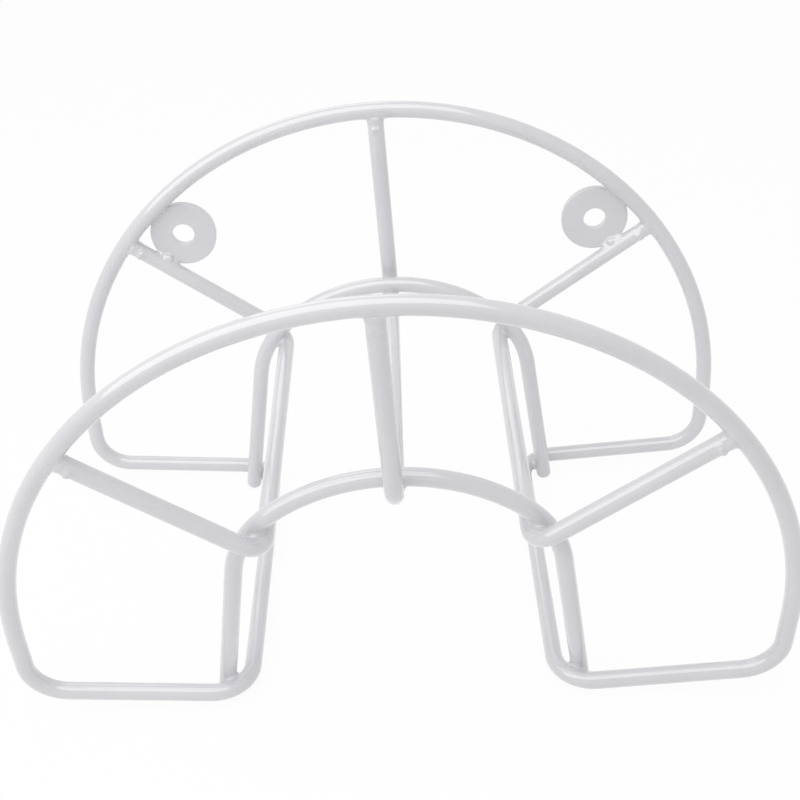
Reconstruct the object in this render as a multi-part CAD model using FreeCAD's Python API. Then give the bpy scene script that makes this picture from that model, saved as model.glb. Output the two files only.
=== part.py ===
import FreeCAD, Part
import math
import os

# Hose hanger of round coated steel wire, fixed to a wall through two washers.
# Millimetres. +X right, +Y into the wall, +Z up, seen by someone facing the wall.
# The shapes are drawn with height 0 at the bottom corners and y = 0 at the wall face.
# They are moved at the end, so that the origin lies midway between the two screw holes.

os.makedirs("parts", exist_ok=True)

V = FreeCAD.Vector

# Wire, measured over its coating
wire_dia = 6.5
wire_r = wire_dia / 2.0
end_round = 2.4

# Welds: how far one piece sinks into the other when they are welded
cross_set = 0.35
butt_set = 0.9
rim_set = 0.6

# Main frame: two arches joined by bottom runs and side runs, one closed loop
overall_width = 280.5
arch_r = (overall_width - wire_dia) / 2.0
arch_centre_h = 33.0
frame_depth = 140.0
front_lean = math.radians(4.0)
bottom_rise = math.radians(4.0)
corner_r = 14.5
side_run_x = 57.0

# Saddle arcs: a crown, two rounder shoulders and two legs that spread a little
crown_h = 97.5
crown_r = 68.0
shoulder_r = 40.5
shoulder_half_width = 58.0
leg_splay = math.radians(8.5)
foot_drop = 5.0

# Cradle wires: two legs and the run between them, with the legs' angles above the horizontal.
# The centre wire is welded in a little askew, so that its legs lean to the left.
side_leg_angle = math.radians(36.2)
centre_leg_angle = math.radians(92.6)
cradle_bend_r = 10.0

# Mounting washers
washer_dia = 27.0
washer_hole_dia = 9.0
washer_thickness = 2.5
washer_edge_round = 0.3

# Planes of the two arches: the rear one has its back on the wall face
rear_y = -wire_r
front_y = rear_y - frame_depth


def rear_point(x, height):
    """A point in the upright plane of the rear arch."""
    return V(x, rear_y, height)


def front_point(x, height):
    """A point in the plane of the front arch, whose top leans away from the wall."""
    return V(x, front_y - height * math.sin(front_lean), height * math.cos(front_lean))


def line_edge(start, end):
    """A straight length of centreline."""
    return Part.LineSegment(start, end).toShape()


def arc_edge(start, middle, end):
    """A circular length of centreline."""
    return Part.Arc(start, middle, end).toShape()


def bend_arc(before, corner, after, radius):
    """The arc that rounds a corner of the centreline."""
    back = (before - corner).normalize()
    ahead = (after - corner).normalize()
    half_angle = back.getAngle(ahead) / 2.0
    tangent_length = radius / math.tan(half_angle)
    bisector = (back + ahead).normalize()
    centre = corner + bisector * (radius / math.sin(half_angle))
    start = corner + back * tangent_length
    end = corner + ahead * tangent_length
    return arc_edge(start, centre - bisector * radius, end)


def bent_path(points, radius):
    """Straight runs through the points, with every inner corner rounded."""
    edges = []
    reached = points[0]
    for before, corner, after in zip(points, points[1:], points[2:]):
        arc = bend_arc(before, corner, after, radius)
        edges.append(line_edge(reached, arc.valueAt(arc.FirstParameter)))
        edges.append(arc)
        reached = arc.valueAt(arc.LastParameter)
    edges.append(line_edge(reached, points[-1]))
    return edges


def rod_length(edge):
    """The round wire along one straight or circular edge."""
    start = edge.valueAt(edge.FirstParameter)
    end = edge.valueAt(edge.LastParameter)
    heading = edge.tangentAt(edge.FirstParameter)
    disc = Part.Face(Part.Wire([Part.makeCircle(wire_r, start, heading)]))
    if isinstance(edge.Curve, Part.Line):
        return disc.extrude(end - start)
    turn = math.degrees(edge.LastParameter - edge.FirstParameter)
    return disc.revolve(edge.Curve.Center, edge.Curve.Axis, turn)


def only_solid(shape, name):
    """The one solid of a shape that has to be a single piece."""
    if len(shape.Solids) != 1:
        raise ValueError("%s has %d solids in place of one" % (name, len(shape.Solids)))
    return shape.Solids[0]


def rod(edges, name):
    """One wire made of all its lengths."""
    lengths = [rod_length(edge) for edge in edges]
    return only_solid(lengths[0].fuse(lengths[1:]).removeSplitter(), name)


def mirrored(point):
    """The same point on the other side of the hanger."""
    return V(-point.x, point.y, point.z)


def main_frame():
    """The closed loop: front arch, bottom runs, side runs and rear arch."""
    outer_corner_h = (arch_r - side_run_x) * math.tan(bottom_rise)
    right = [
        front_point(arch_r, arch_centre_h),
        front_point(arch_r, outer_corner_h),
        front_point(side_run_x, 0.0),
        rear_point(side_run_x, 0.0),
        rear_point(arch_r, outer_corner_h),
        rear_point(arch_r, arch_centre_h),
    ]
    left = [mirrored(point) for point in right]
    edges = bent_path(right, corner_r) + bent_path(left, corner_r)
    for place in (front_point, rear_point):
        top = place(0.0, arch_centre_h + arch_r)
        edges.append(arc_edge(place(-arch_r, arch_centre_h), top, place(arch_r, arch_centre_h)))
    return rod(edges, "main_frame_wire")


# Centre of the right shoulder, and the angle at which the crown runs into it
shoulder_tilt = math.asin((shoulder_half_width - shoulder_r) / (crown_r - shoulder_r))
shoulder_x = (crown_r - shoulder_r) * math.sin(shoulder_tilt)
shoulder_h = crown_h - crown_r + (crown_r - shoulder_r) * math.cos(shoulder_tilt)

# Where the leg of a saddle arc leaves the shoulder, and where it meets height 0
leg_top_x = shoulder_x + shoulder_r * math.cos(leg_splay)
leg_top_h = shoulder_h + shoulder_r * math.sin(leg_splay)
foot_x = leg_top_x + leg_top_h * math.tan(leg_splay)

# A foot stands inside the frame's bottom corner, against the wire there
seat_reach = corner_r - wire_dia + cross_set
seat_gap = max(side_run_x + corner_r - foot_x, 0.0)
foot_inset = corner_r - math.sqrt(seat_reach ** 2 - seat_gap ** 2)

# The leaning front saddle arc is moved up its plane until its crown is as high as the rear one
front_lift = crown_h * (1.0 / math.cos(front_lean) - 1.0)


def rear_saddle_point(x, height):
    """A point in the plane of the rear saddle arc."""
    return V(x, rear_y - foot_inset, height)


def front_saddle_point(x, height):
    """A point in the plane of the front saddle arc."""
    point = front_point(x, height + front_lift)
    return V(point.x, point.y + foot_inset, point.z)


def shoulder_point(angle):
    """A point on the right shoulder, with the angle measured up from the horizontal."""
    return (shoulder_x + shoulder_r * math.cos(angle), shoulder_h + shoulder_r * math.sin(angle))


def round_free_ends(wire, ends):
    """Rounds the rim of each cut end, which the coat domes over."""
    rims = []
    for edge in wire.Edges:
        if any(edge.CenterOfMass.distanceToPoint(end) < 0.01 for end in ends):
            rims.append(edge)
    return wire.makeFillet(end_round, rims)


def saddle_arc(place, name):
    """An inverted U that stands on the frame's bottom corners and crosses the cradle runs."""
    crown_end = shoulder_point(math.pi / 2.0 - shoulder_tilt)
    shoulder_middle = shoulder_point((math.pi / 2.0 - shoulder_tilt + leg_splay) / 2.0)
    leg_top = shoulder_point(leg_splay)
    foot = (foot_x + foot_drop * math.tan(leg_splay), -foot_drop)
    edges = [arc_edge(place(-crown_end[0], crown_end[1]), place(0.0, crown_h), place(*crown_end))]
    for side in (-1.0, 1.0):
        start = place(side * crown_end[0], crown_end[1])
        middle = place(side * shoulder_middle[0], shoulder_middle[1])
        end = place(side * leg_top[0], leg_top[1])
        edges.append(arc_edge(start, middle, end))
        edges.append(line_edge(end, place(side * foot[0], foot[1])))
    ends = [place(side * foot[0], foot[1]) for side in (-1.0, 1.0)]
    return round_free_ends(rod(edges, name), ends)


# The side runs lie against the inside of the saddle shoulders, the centre run under the crowns
side_cradle_x = shoulder_x + (shoulder_r - wire_dia + cross_set) * math.cos(side_leg_angle)
side_cradle_h = shoulder_h + (shoulder_r - wire_dia + cross_set) * math.sin(side_leg_angle)
centre_cradle_h = crown_h - wire_dia + cross_set


def leg_length(x, height, angle):
    """Distance along a leg from its bend corner to its square end, sunk into the arch."""
    along = x * math.cos(angle) + (height - arch_centre_h) * math.sin(angle)
    apart_squared = x ** 2 + (height - arch_centre_h) ** 2
    to_centreline = math.sqrt(along ** 2 - apart_squared + arch_r ** 2) - along
    return to_centreline - wire_r + butt_set


def cradle_wire(side, x, height, angle, name):
    """A wire with a leg in each arch's plane and a level run from front to rear."""
    path = []
    for place, in_plane_h in ((rear_point, height), (front_point, height / math.cos(front_lean))):
        reach = leg_length(x, in_plane_h, angle)
        leg_end = place(
            side * (x + reach * math.cos(angle)),
            in_plane_h + reach * math.sin(angle),
        )
        path.append((leg_end, place(side * x, in_plane_h)))
    (rear_end, rear_corner), (front_end, front_corner) = path
    return rod(bent_path([rear_end, rear_corner, front_corner, front_end], cradle_bend_r), name)


# A washer lies flat on the wall face in the corner between the rear arch and a rear side leg.
# Its rim is welded to the flanks of both wires, which swell outwards over the washer's thickness.
washer_r = washer_dia / 2.0
wire_flank = math.sqrt(wire_r ** 2 - max(wire_r - washer_thickness, 0.0) ** 2)
washer_offset = washer_r + wire_flank - rim_set
near_x = side_cradle_x - washer_offset * math.sin(side_leg_angle)
near_h = side_cradle_h + washer_offset * math.cos(side_leg_angle)
near_along = (
    near_x * math.cos(side_leg_angle) + (near_h - arch_centre_h) * math.sin(side_leg_angle)
)
near_apart_squared = near_x ** 2 + (near_h - arch_centre_h) ** 2
washer_along = (
    math.sqrt(near_along ** 2 - near_apart_squared + (arch_r - washer_offset) ** 2) - near_along
)
washer_x = near_x + washer_along * math.cos(side_leg_angle)
washer_h = near_h + washer_along * math.sin(side_leg_angle)


def mounting_washer(side, name):
    """A flat round washer with a screw hole, its back on the wall face."""
    back_centre = V(side * washer_x, 0.0, washer_h)
    outwards = V(0.0, -1.0, 0.0)
    body = Part.makeCylinder(washer_r, washer_thickness, back_centre, outwards)
    hole = Part.makeCylinder(washer_hole_dia / 2.0, washer_thickness, back_centre, outwards)
    ring = only_solid(body.cut(hole), name)
    rims = [edge for edge in ring.Edges if isinstance(edge.Curve, Part.Circle)]
    front_rims = [edge for edge in rims if edge.CenterOfMass.y < -washer_thickness / 2.0]
    return ring.makeFillet(washer_edge_round, front_rims)


frame_wire = main_frame()
front_arc = saddle_arc(front_saddle_point, "front_saddle_arc")
rear_arc = saddle_arc(rear_saddle_point, "rear_saddle_arc")
left_cradle = cradle_wire(-1.0, side_cradle_x, side_cradle_h, side_leg_angle, "left_cradle_wire")
right_cradle = cradle_wire(1.0, side_cradle_x, side_cradle_h, side_leg_angle, "right_cradle_wire")
centre_cradle = cradle_wire(1.0, 0.0, centre_cradle_h, centre_leg_angle, "centre_cradle_wire")
left_washer = mounting_washer(-1.0, "left_mounting_washer")
right_washer = mounting_washer(1.0, "right_mounting_washer")

# Each weld is a seat cut into the second piece by the first, so that they meet face to face
left_cradle = left_cradle.cut(frame_wire)
right_cradle = right_cradle.cut(frame_wire)
centre_cradle = centre_cradle.cut(frame_wire)
runs = [left_cradle, centre_cradle, right_cradle]
front_arc = front_arc.cut([frame_wire] + runs)
rear_arc = rear_arc.cut([frame_wire] + runs)
left_washer = left_washer.cut([frame_wire, left_cradle])
right_washer = right_washer.cut([frame_wire, right_cradle])

nodes = {
    "main_frame_wire": frame_wire,
    "front_saddle_arc": front_arc,
    "rear_saddle_arc": rear_arc,
    "left_cradle_wire": left_cradle,
    "centre_cradle_wire": centre_cradle,
    "right_cradle_wire": right_cradle,
    "left_mounting_washer": left_washer,
    "right_mounting_washer": right_washer,
}

for name, shape in nodes.items():
    solid = only_solid(shape, name)
    solid.translate(V(0.0, 0.0, -washer_h))
    solid.exportStep("parts/%s.step" % name)
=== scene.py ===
"""Looks for a wall hose hanger of bent and welded steel rod with a white powder coat.

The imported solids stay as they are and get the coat. What the solids leave out is built here:
the weld metal at each joint, with the coat that flows into its corners.
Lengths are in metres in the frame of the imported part: +X right, +Y into the wall, +Z up.
"""

import math

import bmesh
import bpy
from bpy.props import FloatProperty, FloatVectorProperty, PointerProperty
from bpy.types import Operator, Panel, PropertyGroup
from mathutils import Matrix, Vector, noise
from mathutils.bvhtree import BVHTree
from mathutils.kdtree import KDTree


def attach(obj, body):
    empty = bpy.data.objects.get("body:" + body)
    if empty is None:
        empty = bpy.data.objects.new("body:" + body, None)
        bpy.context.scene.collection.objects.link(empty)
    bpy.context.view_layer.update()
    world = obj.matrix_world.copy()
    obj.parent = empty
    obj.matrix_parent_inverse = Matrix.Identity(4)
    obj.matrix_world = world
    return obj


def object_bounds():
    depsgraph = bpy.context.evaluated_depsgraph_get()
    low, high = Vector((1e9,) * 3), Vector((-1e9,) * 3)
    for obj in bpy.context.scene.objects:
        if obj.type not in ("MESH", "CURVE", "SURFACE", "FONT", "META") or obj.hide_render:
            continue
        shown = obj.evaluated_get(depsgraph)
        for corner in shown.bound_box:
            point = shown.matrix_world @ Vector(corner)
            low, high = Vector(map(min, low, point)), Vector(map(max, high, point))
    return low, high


bl_info = {
    "name": "Hose hanger looks",
    "version": (1, 0, 0),
    "blender": (4, 5, 0),
    "location": "View3D > Sidebar > Hose hanger",
    "description": "Powder coat, welds and studio for the packed hose hanger",
    "category": "Object",
}

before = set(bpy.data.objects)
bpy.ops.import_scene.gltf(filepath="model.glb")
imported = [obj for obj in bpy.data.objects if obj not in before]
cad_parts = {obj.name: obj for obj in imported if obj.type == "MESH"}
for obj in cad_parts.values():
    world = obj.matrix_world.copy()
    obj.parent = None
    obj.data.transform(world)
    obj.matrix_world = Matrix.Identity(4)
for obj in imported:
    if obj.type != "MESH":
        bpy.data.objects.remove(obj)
solid_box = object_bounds()

MM = 0.001

FRAME_WIRE = "main_frame_wire"
SADDLE_ARCS = ("front_saddle_arc", "rear_saddle_arc")
CRADLE_WIRES = ("left_cradle_wire", "centre_cradle_wire", "right_cradle_wire")
WASHERS = ("left_mounting_washer", "right_mounting_washer")


def linear(hex_colour):
    """An sRGB hex colour such as D6D5DB as linear red, green and blue."""
    parts = [int(hex_colour[i : i + 2], 16) / 255.0 for i in (0, 2, 4)]
    return tuple(c / 12.92 if c <= 0.04045 else ((c + 0.055) / 1.055) ** 2.4 for c in parts)


WHITE = (*linear("FFFFFF"), 1.0)


def per_mm(size):
    """The scale that makes a procedural pattern repeat every size millimetres."""
    return 1.0 / (size * MM)


def colour_property(name, description, hex_colour):
    """A colour that a user can change."""
    return FloatVectorProperty(
        name=name,
        description=description,
        subtype="COLOR",
        size=3,
        min=0.0,
        max=1.0,
        default=linear(hex_colour),
    )


def length_property(name, description, millimetres):
    """A length that a user can change."""
    return FloatProperty(
        name=name,
        description=description,
        subtype="DISTANCE",
        unit="LENGTH",
        default=millimetres * MM,
    )


class CoatSettings(PropertyGroup):
    """The white powder coat on wires and washers."""

    colour: colour_property("Colour", "The white of the baked coat", "D8D8DC")
    thin_colour: colour_property("Thin colour", "Where the coat is thin and greyer", "D5D5D9")
    roughness: FloatProperty(
        name="Roughness", description="Gloss of the coat", min=0.0, max=1.0, default=0.16
    )
    peel_size: length_property("Orange peel", "Distance between the bumps of the coat", 1.9)
    peel_height: length_property("Peel height", "Height of the bumps of the coat", 0.012)


class WeldSettings(PropertyGroup):
    """The weld metal and coat that fill the corners between two pieces."""

    reach: length_property(
        "Reach", "Length of wire each side of a weld that its metal is shaped from", 6.5
    )
    leg_bead: length_property(
        "Leg bead", "Radius of the thin bead round the end of a cradle leg", 0.5
    )
    crossing_bead: length_property(
        "Crossing bead", "Radius of the bead where two wires cross", 1.5
    )
    rim_bead: length_property("Rim bead", "Radius of the bead along a washer's rim", 1.25)
    dab: length_property("Dab", "Radius of the dab of metal left where a weld was ended", 1.2)
    rim_dab: length_property(
        "Rim dab", "Radius of the large dab that ties a washer to its cradle leg", 1.9
    )
    grain: length_property("Grain", "Size of the cells that the weld metal is made of", 0.3)
    swell: length_property(
        "Swell", "How far the weld metal stands up from the wire at the joint", 0.16
    )


class StudioSettings(PropertyGroup):
    """Floor, lights and camera."""

    floor_colour: colour_property("Floor", "Pale floor under the hanger", "FAFAFB")
    floor_glow: FloatProperty(
        name="White floor",
        description="Share of plain white that the camera sees over the floor's own shade",
        min=0.0,
        max=1.0,
        default=0.94,
    )
    top_power: FloatProperty(
        name="Top softbox",
        description="Power of the wide softbox above the hanger",
        subtype="POWER",
        default=2.85,
    )
    back_power: FloatProperty(
        name="Back softbox",
        description="Power of the small softbox behind the hanger",
        subtype="POWER",
        default=0.42,
    )
    fill_strength: FloatProperty(
        name="Fill light", description="Even light from all round", default=0.595
    )


def coat_settings():
    return bpy.context.scene.hose_hanger_coat


def weld_settings():
    return bpy.context.scene.hose_hanger_weld


def studio_settings():
    return bpy.context.scene.hose_hanger_studio


def add_node(tree, kind, settings=None, **inputs):
    """Adds a node, sets its own settings, and sets or links each named input.

    An underscore stands for a space, and an input named _1 is the socket with index 1.
    """
    node = tree.nodes.new(kind)
    for key, value in (settings or {}).items():
        setattr(node, key, value)
    for key, value in inputs.items():
        place = int(key[1:]) if key[1:].isdigit() else key.replace("_", " ")
        socket = node.inputs[place]
        if isinstance(value, bpy.types.NodeSocket):
            tree.links.new(value, socket)
        else:
            socket.default_value = value
    return node


def new_material(name):
    """An empty node material."""
    material = bpy.data.materials.new(name)
    material.use_nodes = True
    material.node_tree.nodes.clear()
    return material


# Sizes of the coat's patterns in millimetres, and how strong each of them is
DRIFT_MM = 18.0
DRIFT_FADE = (0.35, 0.65)  # noise values where the coat is thinnest and thickest
SPECK_GAP_MM = 7.0
SPECK_FADE = (0.02, 0.06)  # radii where a speck starts to fade and ends, in shares of the gap
SPECK_STRENGTH = 0.4
SPECK_COLOUR = "B9B9BD"
RIPPLE_MM = 0.6
RIPPLE_SHARE = 0.15  # height of the ripple beside that of the orange peel
GLOSS_FADE = (0.3, 0.7)  # noise values where the coat is dullest and glossiest
GLOSS_SPREAD = 0.05

# Baked polyester has an IOR near 1.6. Its smooth top skin is set higher, so that highlights
# stand out against a white room as they do in the photo
BODY_IOR = 1.6
SKIN_IOR = 1.85
SKIN_ROUGHNESS = 0.08


def white_powder_coat(name):
    """Polyester powder sprayed on steel and baked: a hard, fairly glossy white skin.

    The eye gets a broad soft highlight along each wire, broken a little by orange peel, a coat
    that is slightly greyer where it is thin, and a few specks of dust baked into it.
    """
    coat = coat_settings()
    material = new_material(name)
    tree = material.node_tree
    place = add_node(tree, "ShaderNodeTexCoord").outputs["Object"]

    # Thick and thin coat in long drifts
    drift = add_node(
        tree,
        "ShaderNodeTexNoise",
        Vector=place,
        Scale=per_mm(DRIFT_MM),
        Detail=3.0,
        Roughness=0.55,
    )
    thickness = add_node(
        tree,
        "ShaderNodeMapRange",
        {"interpolation_type": "SMOOTHSTEP"},
        Value=drift.outputs["Fac"],
        From_Min=DRIFT_FADE[0],
        From_Max=DRIFT_FADE[1],
    )
    body_colour = add_node(
        tree,
        "ShaderNodeMix",
        {"data_type": "RGBA"},
        _0=thickness.outputs["Result"],
        _6=(*coat.thin_colour, 1.0),
        _7=(*coat.colour, 1.0),
    )

    # Dust specks about 0.5 mm across
    speck_cells = add_node(
        tree,
        "ShaderNodeTexVoronoi",
        {"feature": "F1"},
        Vector=place,
        Scale=per_mm(SPECK_GAP_MM),
    )
    specks = add_node(
        tree,
        "ShaderNodeMapRange",
        Value=speck_cells.outputs["Distance"],
        From_Min=SPECK_FADE[0],
        From_Max=SPECK_FADE[1],
        To_Min=SPECK_STRENGTH,
        To_Max=0.0,
    )
    colour = add_node(
        tree,
        "ShaderNodeMix",
        {"data_type": "RGBA"},
        _0=specks.outputs["Result"],
        _6=body_colour.outputs[2],
        _7=(*linear(SPECK_COLOUR), 1.0),
    )

    # Orange peel, and a finer ripple on it
    peel = add_node(
        tree,
        "ShaderNodeTexNoise",
        Vector=place,
        Scale=1.0 / coat.peel_size,
        Detail=1.5,
        Roughness=0.45,
    )
    ripple = add_node(
        tree,
        "ShaderNodeTexNoise",
        Vector=place,
        Scale=per_mm(RIPPLE_MM),
        Detail=1.0,
        Roughness=0.4,
    )
    gloss = add_node(
        tree,
        "ShaderNodeMapRange",
        Value=drift.outputs["Fac"],
        From_Min=GLOSS_FADE[0],
        From_Max=GLOSS_FADE[1],
        To_Min=coat.roughness + GLOSS_SPREAD,
        To_Max=coat.roughness - GLOSS_SPREAD,
    )
    fine_bump = add_node(
        tree,
        "ShaderNodeBump",
        Strength=1.0,
        Distance=coat.peel_height * RIPPLE_SHARE,
        Height=ripple.outputs["Fac"],
    )
    peel_bump = add_node(
        tree,
        "ShaderNodeBump",
        Strength=1.0,
        Distance=coat.peel_height,
        Height=peel.outputs["Fac"],
        Normal=fine_bump.outputs["Normal"],
    )
    skin = add_node(
        tree,
        "ShaderNodeBsdfPrincipled",
        Base_Color=colour.outputs[2],
        Roughness=gloss.outputs["Result"],
        IOR=BODY_IOR,
        Coat_Weight=1.0,
        Coat_Roughness=SKIN_ROUGHNESS,
        Coat_IOR=SKIN_IOR,
        Normal=peel_bump.outputs["Normal"],
        Coat_Normal=peel_bump.outputs["Normal"],
    )
    add_node(tree, "ShaderNodeOutputMaterial", Surface=skin.outputs["BSDF"])
    return material


def dress(names, material):
    """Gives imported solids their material."""
    for name in names:
        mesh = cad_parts[name].data
        mesh.materials.clear()
        mesh.materials.append(material)


# How the seats of the welds are found
SAME_POINT = 0.0005 * MM  # vertices this close are one
TOUCHING = 0.02 * MM  # a vertex this close to the other solid lies on a seat
SEAT_SPAN = 12 * MM  # points of one seat lie closer together than this
RIM_STEP = 0.4 * MM  # least distance between the points kept round a seat
BRIDGED = 4 * MM  # kept points closer than this get another one between them
BRIDGE_STEP = 0.5 * MM  # unless there is one this near already

# How the metal is laid: hand work, uneven over a few millimetres
UNEVEN_MM = 2.5
BEAD_UNEVEN = 0.25
SWELL_UNEVEN = 0.5
SWELL_END = 3.5 * MM  # from here outwards the metal lies under the wire's own surface
SWELL_FADE = 1.8 * MM  # length over which it rises from there to its full height
SINK = 0.25 * MM  # how deep it lies there
BOX_MARGIN = Vector((0.12, 0.12, 0.12)) * MM
FRONT = Vector((0.0, -1.0, 0.0))


def surface_of(name):
    """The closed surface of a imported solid, with the vertices that its faces share joined."""
    surface = bmesh.new()
    surface.from_mesh(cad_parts[name].data)
    bmesh.ops.remove_doubles(surface, verts=surface.verts, dist=SAME_POINT)
    return surface


def weld_seats(cut_name, cutter_name):
    """The seats where one solid was cut to meet another, each as the points round its rim."""
    cutter = surface_of(cutter_name)
    tree = BVHTree.FromBMesh(cutter)
    cutter.free()
    seats = []
    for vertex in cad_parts[cut_name].data.vertices:
        if tree.find_nearest(vertex.co, TOUCHING)[0] is None:
            continue
        seat = next((seat for seat in seats if (seat[0] - vertex.co).length < SEAT_SPAN), None)
        if seat is None:
            seats.append([vertex.co.copy()])
        elif all((point - vertex.co).length > RIM_STEP for point in seat):
            seat.append(vertex.co.copy())
    return seats


def filled_in(points):
    """The points with more between them, so that a bead laid on them has no gaps."""
    filled = list(points)
    for first in points:
        for second in points:
            if (first - second).length >= BRIDGED:
                continue
            middle = (first + second) / 2.0
            if all((point - middle).length > BRIDGE_STEP for point in filled):
                filled.append(middle)
    return filled


def middle_of(points):
    """The middle of the box round some points."""
    low = Vector(min(point[axis] for point in points) for axis in range(3))
    high = Vector(max(point[axis] for point in points) for axis in range(3))
    return (low + high) / 2.0


def cut_out(surface, centre, reach):
    """The part of a closed surface inside a box about a point, closed where it was cut."""
    chunk = surface.copy()
    for axis in range(3):
        for way in (-1.0, 1.0):
            normal = Vector((0.0, 0.0, 0.0))
            normal[axis] = way
            bmesh.ops.bisect_plane(
                chunk,
                geom=chunk.verts[:] + chunk.edges[:] + chunk.faces[:],
                plane_co=centre + normal * reach,
                plane_no=normal,
                clear_outer=True,
            )
            rims = [edge for edge in chunk.edges if edge.is_boundary]
            bmesh.ops.holes_fill(chunk, edges=rims)
    return chunk


def add_drop(lump, place, size):
    """A round drop of metal."""
    bmesh.ops.create_icosphere(
        lump, subdivisions=2, radius=size, matrix=Matrix.Translation(place)
    )


def run_together(mesh, cell, smoothing):
    """A copy of a mesh whose parts are run together into one skin and smoothed."""
    lump = bpy.data.objects.new("lump", mesh)
    bpy.context.scene.collection.objects.link(lump)
    remesh = lump.modifiers.new("cells", "REMESH")
    remesh.mode = "VOXEL"
    remesh.voxel_size = cell
    smooth = lump.modifiers.new("smooth", "SMOOTH")
    smooth.factor = 0.5
    smooth.iterations = smoothing
    bpy.context.view_layer.update()
    smoothed = lump.evaluated_get(bpy.context.evaluated_depsgraph_get())
    shaped = bpy.data.meshes.new_from_object(smoothed)
    bpy.data.objects.remove(lump)
    return shaped


def settle(mesh, laid, swell):
    """Makes a lump stand up at its bead and dip under the pieces' own surface away from it.

    It stays just inside the solids' box, so that it isn't level with a washer's back.
    """
    low = solid_box[0] + BOX_MARGIN
    high = solid_box[1] - BOX_MARGIN
    surface = bmesh.new()
    surface.from_mesh(mesh)
    surface.normal_update()
    for vertex in surface.verts:
        away = laid.find(vertex.co)[2]
        rise = min(max((SWELL_END - away) / SWELL_FADE, 0.0), 1.0)
        uneven = 1.0 + SWELL_UNEVEN * noise.noise(vertex.co * per_mm(UNEVEN_MM))
        vertex.co += vertex.normal * (swell * uneven * rise - SINK * (1.0 - rise))
        for axis in range(3):
            vertex.co[axis] = min(max(vertex.co[axis], low[axis]), high[axis])
    surface.to_mesh(mesh)
    surface.free()


def weld_lump(surfaces, seat, shape, weld):
    """The two pieces near a weld with its bead and dab, as one smooth lump."""
    centre = middle_of(seat)
    chunks = [cut_out(surface, centre, weld.reach) for surface in surfaces]
    along = (middle_of([vertex.co for vertex in chunks[0].verts]) - centre).normalized()
    joined = bmesh.new()
    for chunk in chunks:
        part = bpy.data.meshes.new("chunk")
        chunk.to_mesh(part)
        chunk.free()
        joined.from_mesh(part)
        bpy.data.meshes.remove(part)
    bead_points = filled_in(seat)
    for point in bead_points:
        uneven = 1.0 + BEAD_UNEVEN * noise.noise(point * per_mm(UNEVEN_MM))
        add_drop(joined, point, shape["bead"] * uneven)
    if shape["dab"]:
        across = along.cross(FRONT).normalized()
        dab_at = centre + along * shape["dab_along"] + FRONT * shape["dab_front"]
        dab_points = [dab_at + across * (side * shape["dab_spread"]) for side in (-1.0, 1.0)]
        for point in dab_points:
            add_drop(joined, point, shape["dab"])
        bead_points += dab_points
    laid = KDTree(len(bead_points))
    for index, point in enumerate(bead_points):
        laid.insert(point, index)
    laid.balance()
    bmesh.ops.triangulate(joined, faces=joined.faces)
    mesh = bpy.data.meshes.new("lump")
    joined.to_mesh(mesh)
    joined.free()
    shaped = run_together(mesh, weld.grain, shape["smoothing"])
    bpy.data.meshes.remove(mesh)
    settle(shaped, laid, weld.swell)
    return shaped


def build_welds(piece_name, meetings, shape, material):
    """All the welds of one kind as one piece.

    shape holds the radius of the bead and of the dab, how far along the cut piece and how far
    towards the front the dab lies, how far it spreads to each side, and how often the metal is
    smoothed.
    """
    weld = weld_settings()
    gathered = bmesh.new()
    for cut_name, cutter_name in meetings:
        surfaces = [surface_of(cut_name), surface_of(cutter_name)]
        for seat in weld_seats(cut_name, cutter_name):
            shaped = weld_lump(surfaces, seat, shape, weld)
            gathered.from_mesh(shaped)
            bpy.data.meshes.remove(shaped)
        for surface in surfaces:
            surface.free()
    if not gathered.faces:
        raise RuntimeError("no weld was found for " + piece_name)
    mesh = bpy.data.meshes.new(piece_name)
    gathered.to_mesh(mesh)
    gathered.free()
    mesh.shade_smooth()
    mesh.materials.append(material)
    piece = bpy.data.objects.new(piece_name, mesh)
    bpy.context.scene.collection.objects.link(piece)
    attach(piece, "root")


class HOSEHANGER_OT_coat_wires(Operator):
    """Gives the six wires their white powder coat"""

    bl_idname = "hose_hanger.coat_wires"
    bl_label = "Coat the wires"

    def execute(self, context):
        dress((FRAME_WIRE, *SADDLE_ARCS, *CRADLE_WIRES), white_powder_coat("powder_coat_wire"))
        return {"FINISHED"}


class HOSEHANGER_OT_coat_washers(Operator):
    """Gives the two mounting washers their white powder coat"""

    bl_idname = "hose_hanger.coat_washers"
    bl_label = "Coat the washers"

    def execute(self, context):
        dress(WASHERS, white_powder_coat("powder_coat_washer"))
        return {"FINISHED"}


class HOSEHANGER_OT_leg_welds(Operator):
    """Builds the weld metal where the cradle legs end on the arches"""

    bl_idname = "hose_hanger.leg_welds"
    bl_label = "Weld the cradle legs"

    def execute(self, context):
        weld = weld_settings()
        shape = {
            "bead": weld.leg_bead,
            "dab": weld.dab,
            "dab_along": 4.0 * MM,
            "dab_front": 2.75 * MM,
            "dab_spread": 0.7 * MM,
            "smoothing": 8,
        }
        meetings = [(cradle, FRAME_WIRE) for cradle in CRADLE_WIRES]
        coat = bpy.data.materials["powder_coat_wire"]
        build_welds("cradle_leg_welds", meetings, shape, coat)
        return {"FINISHED"}


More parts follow.
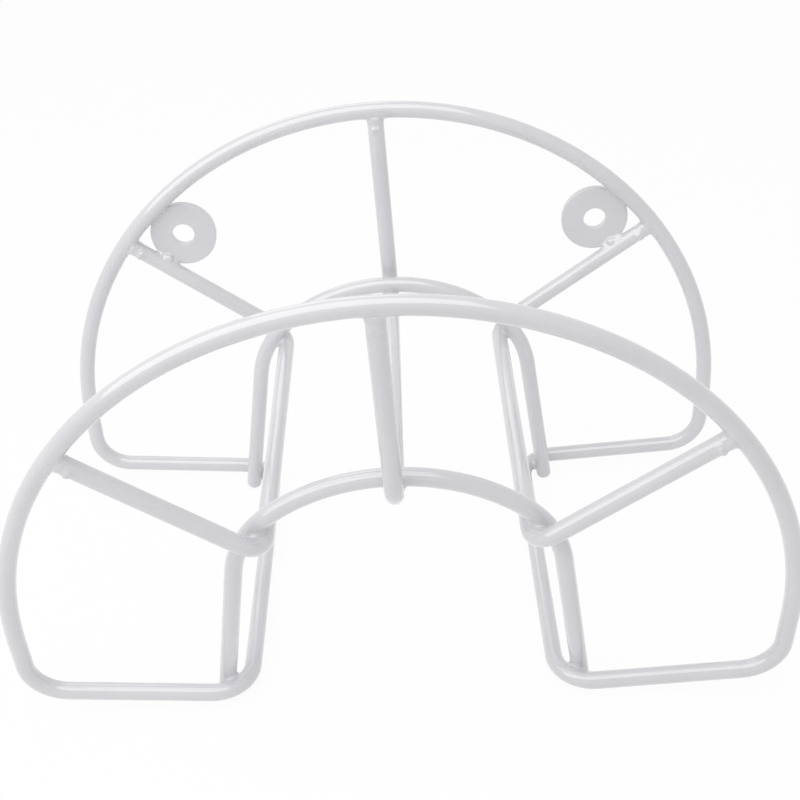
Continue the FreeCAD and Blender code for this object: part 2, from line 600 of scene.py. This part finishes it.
class HOSEHANGER_OT_saddle_welds(Operator):
    """Builds the weld metal where the saddle arcs meet the cradle runs and the frame"""

    bl_idname = "hose_hanger.saddle_welds"
    bl_label = "Weld the saddle arcs"

    def execute(self, context):
        weld = weld_settings()
        shape = {
            "bead": weld.crossing_bead,
            "dab": weld.dab,
            "dab_along": 0.0,
            "dab_front": 2.0 * MM,
            "dab_spread": 0.7 * MM,
            "smoothing": 20,
        }
        coat = bpy.data.materials["powder_coat_wire"]
        crossings = [(saddle, cradle) for saddle in SADDLE_ARCS for cradle in CRADLE_WIRES]
        build_welds("saddle_crossing_welds", crossings, shape, coat)
        feet = [(saddle, FRAME_WIRE) for saddle in SADDLE_ARCS]
        build_welds("saddle_foot_welds", feet, shape, coat)
        return {"FINISHED"}


class HOSEHANGER_OT_washer_welds(Operator):
    """Builds the weld metal where the washers' rims meet the arch and the side legs"""

    bl_idname = "hose_hanger.washer_welds"
    bl_label = "Weld the washers"

    def execute(self, context):
        weld = weld_settings()
        coat = bpy.data.materials["powder_coat_washer"]
        shape = {
            "bead": weld.rim_bead,
            "dab": 0.0,
            "dab_along": 0.0,
            "dab_front": 0.0,
            "dab_spread": 0.0,
            "smoothing": 30,
        }
        arch_meetings = [(washer, FRAME_WIRE) for washer in WASHERS]
        build_welds("washer_arch_welds", arch_meetings, shape, coat)
        shape.update(dab=weld.rim_dab, dab_front=1.0 * MM, dab_spread=0.5 * MM)
        leg_meetings = list(zip(WASHERS, (CRADLE_WIRES[0], CRADLE_WIRES[2])))
        build_welds("washer_leg_welds", leg_meetings, shape, coat)
        return {"FINISHED"}


FLOOR_REACH = 4.0  # half the floor's width in metres
FLOOR_GAP = 0.2 * MM
MOTTLE_MM = 40.0

# Each softbox: its place from the middle of the hanger, its width and its depth, in metres
TOP_SOFTBOX = ((-0.25, -0.22, 0.54), 1.25, 0.64)
BACK_SOFTBOX = ((-0.2, 0.68, 0.62), 0.5, 0.45)


def seen_straight(tree):
    """One for what is seen directly, in a mirror or through glass, nought for lighting."""
    rays = add_node(tree, "ShaderNodeLightPath")
    mirrored = add_node(
        tree,
        "ShaderNodeMath",
        {"operation": "MAXIMUM"},
        _0=rays.outputs["Is Glossy Ray"],
        _1=rays.outputs["Is Transmission Ray"],
    )
    seen = add_node(
        tree,
        "ShaderNodeMath",
        {"operation": "MAXIMUM"},
        _0=rays.outputs["Is Camera Ray"],
        _1=mirrored.outputs["Value"],
    )
    return seen.outputs["Value"]


def studio_floor(settings):
    """A pale matt floor that keeps the hanger's soft shadow."""
    material = new_material("floor_paper")
    tree = material.node_tree
    place = add_node(tree, "ShaderNodeTexCoord").outputs["Object"]
    mottle = add_node(
        tree, "ShaderNodeTexNoise", Vector=place, Scale=per_mm(MOTTLE_MM), Detail=3.0
    )
    colour = add_node(
        tree,
        "ShaderNodeMix",
        {"data_type": "RGBA"},
        _0=mottle.outputs["Fac"],
        _6=(*settings.floor_colour, 1.0),
        _7=WHITE,
    )
    paper = add_node(
        tree,
        "ShaderNodeBsdfPrincipled",
        Base_Color=colour.outputs[2],
        Roughness=0.9,
        Specular_IOR_Level=0.0,
    )
    # The camera sees mostly plain white, so the shadow stays but is faint
    share = add_node(
        tree,
        "ShaderNodeMath",
        {"operation": "MULTIPLY"},
        _0=seen_straight(tree),
        _1=settings.floor_glow,
    )
    white = add_node(tree, "ShaderNodeEmission", Color=WHITE, Strength=1.0)
    sheet = add_node(
        tree,
        "ShaderNodeMixShader",
        _0=share.outputs["Value"],
        _1=paper.outputs["BSDF"],
        _2=white.outputs["Emission"],
    )
    add_node(tree, "ShaderNodeOutputMaterial", Surface=sheet.outputs["Shader"])

    square = bmesh.new()
    bmesh.ops.create_grid(square, x_segments=2, y_segments=2, size=FLOOR_REACH)
    mesh = bpy.data.meshes.new("floor")
    square.to_mesh(mesh)
    square.free()
    mesh.materials.append(material)
    floor = bpy.data.objects.new("floor", mesh)
    floor.location = (0.0, 0.0, solid_box[0].z - FLOOR_GAP)
    bpy.context.scene.collection.objects.link(floor)


def softbox(name, offset, width, depth, power):
    """A flat lamp that faces the middle of the hanger."""
    offset = Vector(offset)
    facing = offset.normalized()
    width_way = Vector((0.0, 1.0, 0.0)).cross(facing).normalized()
    turned = Matrix((width_way, facing.cross(width_way), facing)).transposed().to_4x4()
    turned.translation = (solid_box[0] + solid_box[1]) / 2.0 + offset
    panel = bpy.data.lights.new(name, "AREA")
    panel.shape = "RECTANGLE"
    panel.size = width
    panel.size_y = depth
    panel.energy = power
    lamp = bpy.data.objects.new(name, panel)
    lamp.matrix_world = turned
    bpy.context.scene.collection.objects.link(lamp)


def studio_lights(settings):
    """A wide softbox above, a small one behind, both to the left, and an even white fill."""
    softbox("top_softbox", *TOP_SOFTBOX, settings.top_power)
    softbox("back_softbox", *BACK_SOFTBOX, settings.back_power)

    world = bpy.data.worlds.new("white_room")
    world.use_nodes = True
    tree = world.node_tree
    tree.nodes.clear()
    fill = add_node(
        tree, "ShaderNodeBackground", Color=WHITE, Strength=settings.fill_strength
    )
    backdrop = add_node(tree, "ShaderNodeBackground", Color=WHITE, Strength=1.0)
    seen = add_node(
        tree,
        "ShaderNodeMixShader",
        _0=seen_straight(tree),
        _1=fill.outputs["Background"],
        _2=backdrop.outputs["Background"],
    )
    add_node(tree, "ShaderNodeOutputWorld", Surface=seen.outputs["Shader"])
    bpy.context.scene.world = world


# The view: what the camera looks at, how far off and high it stands, its tilt and its lens
VIEW_CENTRE = Vector((-3.5 * MM, -85.0 * MM, -30.51 * MM))
VIEW_DISTANCE = 459.18 * MM
VIEW_AZIMUTH = math.radians(1.25)
VIEW_ELEVATION = math.radians(34.04)
VIEW_ROLL = math.radians(-2.77)
FOCAL_PIXELS = 1244.1
SHIFT_PIXELS = (-16.1, 1.1)
PICTURE_PIXELS = 800.0
SENSOR_WIDTH = 36.0  # millimetres, as Blender counts a lens
NEAREST_SEEN = 0.01
FARTHEST_SEEN = 20.0


def photo_camera():
    """The camera at the photograph's place, looking down at the hanger from the front."""
    flat = math.cos(VIEW_ELEVATION)
    back = Vector(
        (
            math.sin(VIEW_AZIMUTH) * flat,
            -math.cos(VIEW_AZIMUTH) * flat,
            math.sin(VIEW_ELEVATION),
        )
    )
    level_right = (-back).cross(Vector((0.0, 0.0, 1.0))).normalized()
    level_up = level_right.cross(-back)
    right = level_right * math.cos(VIEW_ROLL) + level_up * math.sin(VIEW_ROLL)
    up = level_up * math.cos(VIEW_ROLL) - level_right * math.sin(VIEW_ROLL)
    place = Matrix((right, up, back)).transposed().to_4x4()
    place.translation = VIEW_CENTRE + back * VIEW_DISTANCE

    lens = bpy.data.cameras.new("photo_camera")
    lens.sensor_width = SENSOR_WIDTH
    lens.lens = FOCAL_PIXELS / PICTURE_PIXELS * SENSOR_WIDTH
    lens.shift_x = -SHIFT_PIXELS[0] / PICTURE_PIXELS
    lens.shift_y = SHIFT_PIXELS[1] / PICTURE_PIXELS
    lens.clip_start = NEAREST_SEEN
    lens.clip_end = FARTHEST_SEEN
    camera = bpy.data.objects.new("photo_camera", lens)
    camera.matrix_world = place
    bpy.context.scene.collection.objects.link(camera)
    bpy.context.scene.camera = camera


class HOSEHANGER_OT_stage(Operator):
    """Lays the floor and sets the lights and the camera"""

    bl_idname = "hose_hanger.stage"
    bl_label = "Set the stage"

    def execute(self, context):
        settings = studio_settings()
        studio_floor(settings)
        studio_lights(settings)
        photo_camera()
        context.scene.view_settings.view_transform = "Standard"
        return {"FINISHED"}


class HOSEHANGER_PT_sidebar(Panel):
    """Sizes, colours and the steps that build the hanger's looks"""

    bl_idname = "HOSEHANGER_PT_sidebar"
    bl_label = "Hose hanger"
    bl_space_type = "VIEW_3D"
    bl_region_type = "UI"
    bl_category = "Hose hanger"

    def draw(self, context):
        for settings in (coat_settings(), weld_settings(), studio_settings()):
            box = self.layout.box()
            for name in type(settings).__annotations__:
                box.prop(settings, name)
        for step in STEPS:
            self.layout.operator(step.bl_idname)


STEPS = (
    HOSEHANGER_OT_coat_wires,
    HOSEHANGER_OT_coat_washers,
    HOSEHANGER_OT_leg_welds,
    HOSEHANGER_OT_saddle_welds,
    HOSEHANGER_OT_washer_welds,
    HOSEHANGER_OT_stage,
)
SETTINGS = (
    ("hose_hanger_coat", CoatSettings),
    ("hose_hanger_weld", WeldSettings),
    ("hose_hanger_studio", StudioSettings),
)


def register():
    for name, group in SETTINGS:
        bpy.utils.register_class(group)
        setattr(bpy.types.Scene, name, PointerProperty(type=group))
    for step in STEPS:
        bpy.utils.register_class(step)
    bpy.utils.register_class(HOSEHANGER_PT_sidebar)


def unregister():
    bpy.utils.unregister_class(HOSEHANGER_PT_sidebar)
    for step in reversed(STEPS):
        bpy.utils.unregister_class(step)
    for name, group in reversed(SETTINGS):
        delattr(bpy.types.Scene, name)
        bpy.utils.unregister_class(group)


def main():
    """Builds the looks in order."""
    register()
    bpy.ops.hose_hanger.coat_wires()
    bpy.ops.hose_hanger.coat_washers()
    bpy.ops.hose_hanger.leg_welds()
    bpy.ops.hose_hanger.saddle_welds()
    bpy.ops.hose_hanger.washer_welds()
    bpy.ops.hose_hanger.stage()


if __name__ == "__main__":
    main()
